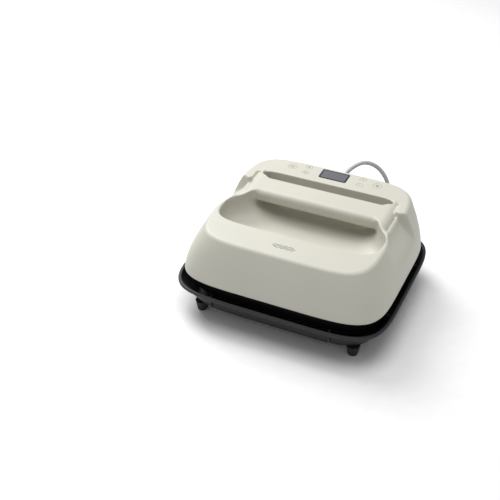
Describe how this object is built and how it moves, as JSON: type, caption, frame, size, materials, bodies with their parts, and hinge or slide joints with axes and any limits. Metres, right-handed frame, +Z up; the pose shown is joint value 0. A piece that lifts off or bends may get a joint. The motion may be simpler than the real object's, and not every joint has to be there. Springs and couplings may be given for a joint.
{
  "type": "heat press",
  "caption": "Hand-held heat press for vinyl: heated plate under a moulded housing with a bar handle over a hand well, display, push buttons and mains lead, standing in a safety base.",
  "frame": {"origin": "bottom centre of the safety base, on the floor", "axes": "+X to the user's right, +Y to the back (display side), +Z up"},
  "size_m": [0.36, 0.444, 0.1552],
  "materials": {
    "housing_plastic": "fine matte texture",
    "button_plastic": "matte",
    "black_plastic": "satin",
    "black_rubber": "matte",
    "silicone": "matte",
    "steel": "satin",
    "plate_metal": "satin",
    "sheet_metal": "plain",
    "element_metal": "oxidised",
    "ceramic_body": "matte",
    "fibre_blanket": "soft",
    "board": "solder mask",
    "part_blue": "gloss",
    "part_yellow": "satin",
    "part_black": "satin",
    "part_green": "satin",
    "fin_metal": "anodised",
    "fuse_glass": "gloss",
    "lead_sleeve": "matte",
    "brown_sleeve": "satin",
    "window": "gloss",
    "ribbon": "satin",
    "cord_grey": "satin",
    "brass": "polished"
  },
  "bodies": {
    "base": {"base_tray": "black_plastic", "base_feet": "black_rubber", "rest_pads": "silicone"},
    "press": {"top_housing": "housing_plastic", "hand_well": "housing_plastic", "handle_underside": "housing_plastic", "handle_screws": "steel", "lower_skirt": "black_plastic", "housing_screws": "steel", "heat_plate": "plate_metal", "heating_element": "element_metal", "thermal_cutoff": "ceramic_body", "temperature_sensor": "ceramic_body", "insulation_blanket": "fibre_blanket", "plate_standoffs": "steel", "heat_shield": "sheet_metal", "plate_screws": "steel", "board_spacers": "steel", "power_board": "board", "power_relay": "part_blue", "transformer": "part_yellow", "capacitors": "part_black", "triac_heatsink": "fin_metal", "line_fuse": "fuse_glass", "terminal_block": "part_green", "element_leads": "lead_sleeve", "mains_leads": "brown_sleeve", "control_board": "board", "board_screws": "steel", "tact_switches": "part_black", "buzzer": "part_black", "display_module": "part_black", "display_window": "window", "ribbon_cable": "ribbon", "cord_clamp": "part_black", "cord_boot": "cord_grey", "power_cord": "cord_grey", "cord_coil": "cord_grey", "cord_tie": "part_black", "mains_plug": "cord_grey", "plug_pins": "brass"},
    "power_button_cap": {"power_button": "button_plastic"},
    "temperature_button_cap": {"temperature_button": "button_plastic"},
    "timer_button_cap": {"timer_button": "button_plastic"},
    "plus_button_cap": {"plus_button": "button_plastic"},
    "minus_button_cap": {"minus_button": "button_plastic"},
    "start_button_cap": {"start_button": "button_plastic"}
  },
  "joints": [
    {"name": "press_lift", "type": "slide", "parent": "base", "child": "press", "axis": [0, 0, 1], "range_m": [0, 0.15]},
    {"name": "power_button_push", "type": "slide", "parent": "press", "child": "power_button_cap", "axis": [0, 0.0436, -0.999], "range_m": [0, 0.0006], "stiffness_N_per_m": 1500},
    {"name": "temperature_button_push", "type": "slide", "parent": "press", "child": "temperature_button_cap", "axis": [0, 0.0436, -0.999], "range_m": [0, 0.0006], "stiffness_N_per_m": 1500},
    {"name": "timer_button_push", "type": "slide", "parent": "press", "child": "timer_button_cap", "axis": [0, 0.0436, -0.999], "range_m": [0, 0.0006], "stiffness_N_per_m": 1500},
    {"name": "plus_button_push", "type": "slide", "parent": "press", "child": "plus_button_cap", "axis": [0, 0.0436, -0.999], "range_m": [0, 0.0006], "stiffness_N_per_m": 1500},
    {"name": "minus_button_push", "type": "slide", "parent": "press", "child": "minus_button_cap", "axis": [0, 0.0436, -0.999], "range_m": [0, 0.0006], "stiffness_N_per_m": 1500},
    {"name": "start_button_push", "type": "slide", "parent": "press", "child": "start_button_cap", "axis": [0, 0.0436, -0.999], "range_m": [0, 0.0006], "stiffness_N_per_m": 1500}
  ]
}
